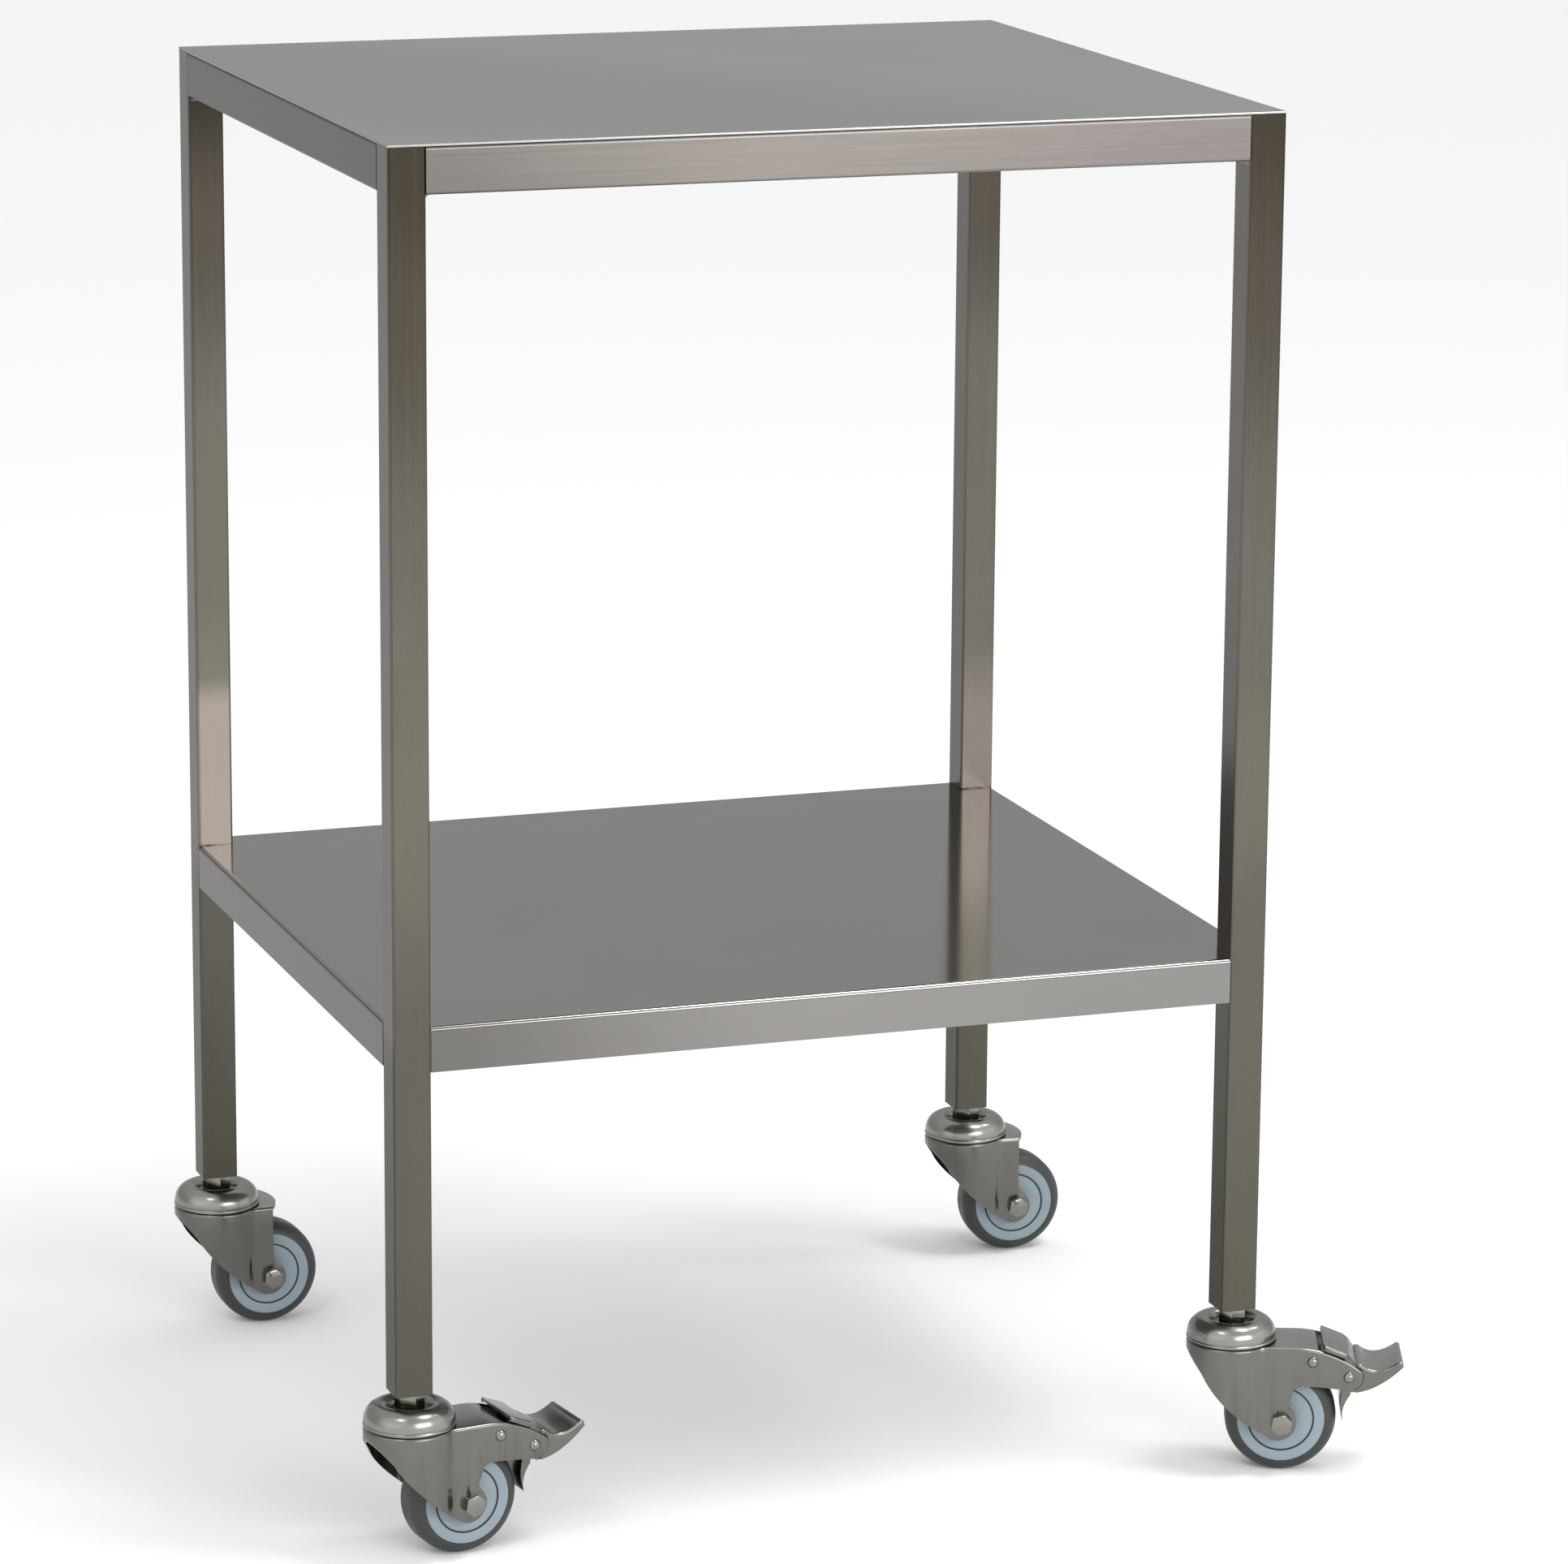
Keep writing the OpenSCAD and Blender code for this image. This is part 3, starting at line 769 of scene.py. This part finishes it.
def head_outline():
    """Half of the fork seen from above: (s, y) and the outward direction, from the front back."""
    reach = HEAD_R + HEAD_FILLET
    rise = FORK_HALF + HEAD_FILLET
    blend_s = math.sqrt(reach * reach - rise * rise)
    meet = math.degrees(math.atan2(rise, blend_s))
    made = []
    for i in range(HEAD_STEPS + 1):
        angle = math.radians(180 + (meet - 180) * i / HEAD_STEPS)
        ray = (math.cos(angle), math.sin(angle))
        made.append((HEAD_R * ray[0], HEAD_R * ray[1], *ray))
    for i in range(1, FILLET_STEPS + 1):
        angle = math.radians(meet + 180 + (90 - meet) * i / FILLET_STEPS)
        ray = (math.cos(angle), math.sin(angle))
        made.append((blend_s + HEAD_FILLET * ray[0], rise + HEAD_FILLET * ray[1], -ray[0], -ray[1]))
    stations = [26, 30, 34, 38, 42] + [s for s, h in ARM_TOP] + [88, SHELL_END]
    return made + [(s, FORK_HALF, 0, 1) for s in stations]


def fork_shell(name, web_end):
    """The fork's sheet before it is cut to its side profile: flat web, rounded folds, sides."""
    shape = bmesh.new()
    rows = []
    for s, y, ray_s, ray_y in head_outline():
        top = arm_height(s)
        half = []
        for offset, drop in fold(0, 0, FOLD_R):
            half.append((s + ray_s * offset, y + ray_y * offset, -top - drop))
        half.append((s, y, -SHELL_LOW))
        left = [shape.verts.new(point) for point in reversed(half)]
        right = [shape.verts.new((x, -y2, z)) for x, y2, z in half]
        rows.append((s, left + right))
    web = FOLD_STEPS + 1
    for (s0, row0), (s1, row1) in zip(rows, rows[1:]):
        for i in range(len(row0) - 1):
            if i == web and s1 > web_end:
                continue
            shape.faces.new((row0[i], row0[i + 1], row1[i + 1], row1[i]))
    bmesh.ops.remove_doubles(shape, verts=shape.verts, dist=0.001)
    bmesh.ops.dissolve_degenerate(shape, dist=0.0001, edges=shape.edges)
    bmesh.ops.recalc_face_normals(shape, faces=shape.faces)
    level = [f for f in shape.faces if abs(f.normal.z) > 0.99]
    if level[0].normal.z < 0:
        bmesh.ops.reverse_faces(shape, faces=shape.faces)
    made = new_object(name, shape)
    thicken(made, FORK_SHEET)
    return made


def fork_outline(braked):
    """The side profile that the shell is cut to."""
    front = SWEEP + [(-HEAD_R, FRONT_DROP), (PAST_FRONT, FRONT_DROP), (PAST_FRONT, ABOVE)]
    if braked:
        rear = arc(PIVOT, ARM_END_R, -90, 90, 24) + ARM_LOW[1:]
        notch = arc(ARCH, ARCH_R, -90, -180, 12)[1:] + NOTCH_END
        boss = arc(BOSS, BOSS_R, BOSS_FROM_NOTCH, BOSS_TO_SWEEP, 30)[:-1]
        return [(PIVOT[0], ABOVE)] + rear + notch + boss + front
    under_web = FORK_TOP + FORK_SHEET
    edge = [(PAST_TAB, ABOVE), (PAST_TAB, under_web), (CHEEK_BACK, under_web)]
    edge += curve(*CHEEK_TURN, 6)
    boss = arc(BOSS, BOSS_R, BOSS_FROM_CHEEK, BOSS_TO_SWEEP, 30)[1:-1]
    return edge + boss + front


def dart():
    """A stamped slit beside the bolt, as a cutter on both sides."""
    s, y, drop = DART_AT
    shape = bmesh.new()
    bmesh.ops.create_icosphere(shape, subdivisions=3, radius=1.0)
    bmesh.ops.scale(shape, vec=DART_SIZE, verts=shape.verts)
    copy = bmesh.ops.duplicate(shape, geom=shape.verts[:] + shape.edges[:] + shape.faces[:])["geom"]
    twin = [v for v in copy if isinstance(v, bmesh.types.BMVert)]
    first = [v for v in shape.verts if v not in set(twin)]
    bmesh.ops.translate(shape, vec=(s, y, -drop), verts=first)
    bmesh.ops.translate(shape, vec=(s, -y, -drop), verts=twin)
    return new_object("dart", shape)


def finish_piece(piece, corner, body, node, material, edge):
    """Puts a finished piece in its place on its body, instead of a CAD node."""
    piece.data.transform(caster_place(corner))
    piece.data.materials.clear()
    piece.data.materials.append(material)
    bevel = piece.modifiers.new("edges", "BEVEL")
    bevel.width = edge
    bevel.segments = 2
    bevel.limit_method = "ANGLE"
    bevel.angle_limit = math.radians(PIECE_EDGE_ANGLE)
    settle(piece)
    piece.data.shade_smooth()
    piece.data.set_sharp_from_angle(angle=math.radians(SHARP_ANGLE))
    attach(piece, body)
    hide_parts(node)


def ring_faces(shape, inner, outer, y0, y1, middle):
    """A flat ring around the axle, between two radii and two distances across."""
    loops = []
    for radius, y in ((inner, y0), (outer, y0), (outer, y1), (inner, y1)):
        loops.append([shape.verts.new((s, y, -h)) for s, h in circle(middle, radius)])
    for a, b in zip(loops, loops[1:] + loops[:1]):
        band(shape, a, b)


def make_dark_rings(corner, material):
    """Thin dark rings between the hub and its round covers."""
    shape = bmesh.new()
    for side in (-1, 1):
        ring_faces(shape, DARK_RING_IN, DARK_RING_OUT, side * DARK_RING_LOW, side * DARK_RING_HIGH, (TRAIL, AXLE_DROP))
    bmesh.ops.recalc_face_normals(shape, faces=shape.faces)
    piece = new_object("hub_dark_rings_" + corner, shape)
    piece.data.transform(caster_place(corner))
    piece.data.materials.append(material)
    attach(piece, "wheel_" + corner)


def make_fork(corner, material):
    """A pressed fork: a front caster's has an arm for the pedal, a rear one's a round tab."""
    braked = corner in BRAKED
    piece = fork_shell("pressed_fork_" + corner, WEB_END if braked else TAB_WEB_END)
    carve(piece, "INTERSECT", prism("profile", fork_outline(braked)))
    if not braked:
        around_tab = [(TAB_FROM, ABOVE), (TAB_WEB_END, ABOVE)]
        around_tab += [(TAB_WEB_END, TAB_BELOW), (TAB_FROM, TAB_BELOW)]
        corner_cut = prism("corners", around_tab)
        carve(corner_cut, "DIFFERENCE", pillar("back", (0, 0), TAB_R, -DEEP, 0))
        carve(piece, "DIFFERENCE", corner_cut)
        carve(piece, "DIFFERENCE", dart())
    carve(piece, "DIFFERENCE", pillar("king_pin", (0, 0), KING_PIN_HOLE, -REACH, 0))
    finish_piece(piece, corner, "fork_" + corner, "fork_" + corner, material, FORK_EDGE)


# The domed cap, turned about the swivel axis.

CAP_HOLE_R = 6.1
CAP_FLOOR = 12.0
CAP_CREST_R = 19.5
CAP_CREST = 7.0
CAP_DISH = 6.0
CAP_BULGE = 10.5
CAP_SIDE = 19.0
CAP_LIP = [(29.9, 19.3), (29.6, 19.7), (29.9, 20.1), (30.3, 20.3), (30.4, 20.7), (30.4, 21.3)]
CAP_SHEET = 1.5
CAP_EDGE = 0.00015
DISH_STEPS = 12
BULGE_STEPS = 18


def cap_profile():
    """Outer side of the cap, from the stud outwards: (radius, h)."""
    made = [(CAP_HOLE_R, CAP_FLOOR), (10.0, CAP_FLOOR)]
    for i in range(DISH_STEPS + 1):
        angle = math.radians(90 * i / DISH_STEPS)
        rise = (CAP_FLOOR - CAP_CREST) * math.sin(angle)
        made.append((CAP_CREST_R - CAP_DISH * math.cos(angle), CAP_FLOOR - rise))
    for i in range(1, BULGE_STEPS + 1):
        angle = math.radians(90 - 90 * i / BULGE_STEPS)
        rise = (CAP_SIDE - CAP_CREST) * math.sin(angle)
        made.append((CAP_CREST_R + CAP_BULGE * math.cos(angle), CAP_SIDE - rise))
    return made + CAP_LIP


def make_cap(corner, material):
    """The domed cap over a caster's race."""
    shape = bmesh.new()
    rings = []
    for radius, h in cap_profile():
        rings.append([shape.verts.new((*point, -h)) for point in circle((0, 0), radius)])
    for a, b in zip(rings, rings[1:]):
        band(shape, a, b)
    crown_up(shape)
    piece = new_object("domed_cap_" + corner, shape)
    thicken(piece, CAP_SHEET, even=False)
    finish_piece(piece, corner, "frame", "cap_" + corner, material, CAP_EDGE)


# The foot pedal.

PEDAL_HALF = 22.4
PEDAL_INNER = 20.7
PEDAL_SHEET = 2.0
PEDAL_FOLD = 2.1
PLATE_FRONT = (61.0, 19.8)
PLATE_BACK = (76.7, 25.9)
PLATE_SHEET = 1.6
PLATE_FOLD = 1.8
FLANGE = 3.4
CLEAR_R = 10.1
RIVET_HOLE = 3.1
REST_WALL = 62
REST_RIM = [(82.6, ABOVE), (120, ABOVE), (120, 34.2)]
NECK = [(75.9, 25.6), PLATE_BACK, (79.6, 28.2), (83.2, 33.0), (84.6, 33.6)]
CHEEK = [(76.2, 26.6), (83.2, 33.6), (92, 38.2), (92, 49.2)]
CHEEK_BELLY_END = 91
PEDAL_EDGE = 0.0002
PLATE_LENGTH = 16.8
# How far the plate's sides are cut back at distances from its front: (distance, cut).
PLATE_CUT = ((0, 3.0), (0.35, 1.7), (0.9, 0.8), (1.7, 0.25), (3.0, 0.0), (9.0, 0.0), (16.8, 0.0))
REST = curve((83.2, 34.4), (84.6, 31.8), (87.6, 33.6), 6)
REST += curve((87.6, 33.6), (97.5, 41.6), (112, 31), 18)[1:]
REST += [(113.3, 30.9), (114.4, 31.5), (115.0, 32.7), (115.1, 34.2)]
BELLY = curve((115.2, 34.2), (98, 52), (80.4, 53.3), 16)


def folded_strip(name, path, halves, fold_r, sheet, flange=None, low=None):
    """A sheet along a path of (s, h), folded down at both sides by a flange or to a level."""
    shape = bmesh.new()
    rows = []
    for (s, h), reach in zip(path, halves):
        half = fold(reach, h, fold_r)
        half.append((reach, h + flange if flange else low))
        points = [(s, y, -drop) for y, drop in reversed(half)] + [(s, -y, -drop) for y, drop in half]
        rows.append([shape.verts.new(point) for point in points])
    for row0, row1 in zip(rows, rows[1:]):
        for i in range(len(row0) - 1):
            shape.faces.new((row0[i], row0[i + 1], row1[i + 1], row1[i]))
    crown_up(shape)
    made = new_object(name, shape)
    thicken(made, sheet)
    return made


def joined(name, parts):
    """One object with the meshes of all the parts."""
    shape = bmesh.new()
    for part in parts:
        shape.from_mesh(part.data)
        bpy.data.objects.remove(part)
    return new_object(name, shape)


def make_pedal(corner, material):
    """A foot pedal: the curved rest, the raised plate, the neck between them and two cheeks."""
    halves = [PEDAL_HALF] * len(REST)
    rest = folded_strip("rest", REST, halves, PEDAL_FOLD, PEDAL_SHEET, low=REST_WALL)
    cut = REST_RIM + BELLY + arc(PIVOT, CLEAR_R, 79, -62, 20)
    carve(rest, "INTERSECT", prism("rest_profile", cut))
    run = PLATE_BACK[0] - PLATE_FRONT[0]
    slope = (PLATE_BACK[1] - PLATE_FRONT[1]) / run
    scale = run / PLATE_LENGTH
    path = [(PLATE_FRONT[0] + d * scale, PLATE_FRONT[1] + d * scale * slope) for d, back in PLATE_CUT]
    halves = [FORK_HALF - back for d, back in PLATE_CUT]
    plate = folded_strip("plate", path, halves, PLATE_FOLD, PLATE_SHEET, flange=FLANGE)
    under = [(s, h + PEDAL_SHEET) for s, h in reversed(NECK)]
    neck = prism("neck", NECK + under, -PEDAL_INNER, PEDAL_INNER)
    cheek = CHEEK + [point for point in BELLY if point[0] < CHEEK_BELLY_END]
    cheek += arc(PIVOT, ARM_END_R, 92, 255, 20)
    inner = PEDAL_INNER - PEDAL_SHEET
    sides = []
    for y0, y1 in ((inner, PEDAL_INNER), (-PEDAL_INNER, -inner)):
        side = prism("cheek", cheek, y0, y1)
        carve(side, "DIFFERENCE", prism("hole", arc(PIVOT, RIVET_HOLE, 0, 352.5, 47)))
        sides.append(side)
    piece = joined("foot_pedal_" + corner, [rest, plate, neck] + sides)
    finish_piece(piece, corner, "pedal_" + corner, "pedal_" + corner, material, PEDAL_EDGE)


# ---------------------------------------------------------------- the scene

bpy.context.scene.view_settings.view_transform = "Standard"
make_camera()
make_world()
make_stage()
dress_all()
